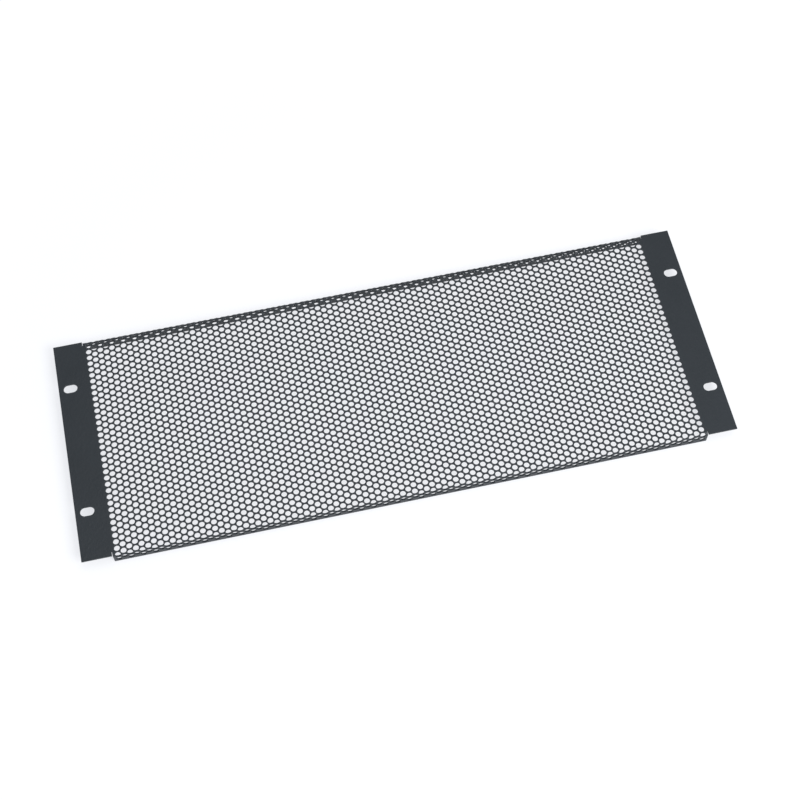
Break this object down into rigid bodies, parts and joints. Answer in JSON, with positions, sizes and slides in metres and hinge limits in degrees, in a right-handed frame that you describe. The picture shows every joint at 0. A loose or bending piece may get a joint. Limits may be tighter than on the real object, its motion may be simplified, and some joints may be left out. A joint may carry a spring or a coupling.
{
  "type": "rack blanking panel",
  "caption": "Vented blanking panel for a 19-inch rack: one perforated steel sheet with plain slotted ears and long edges folded back.",
  "frame": {"origin": "under the middle of the panel, on the surface that its two folded edges lie on", "axes": "the panel lies face up: +X along its length, +Y towards its top edge, +Z out of its face"},
  "size_m": [0.4826, 0.177, 0.011],
  "materials": {
    "powder_coat": "satin charcoal powder coat"
  },
  "bodies": {
    "root": {"vent_panel": "powder_coat"}
  },
  "joints": []
}
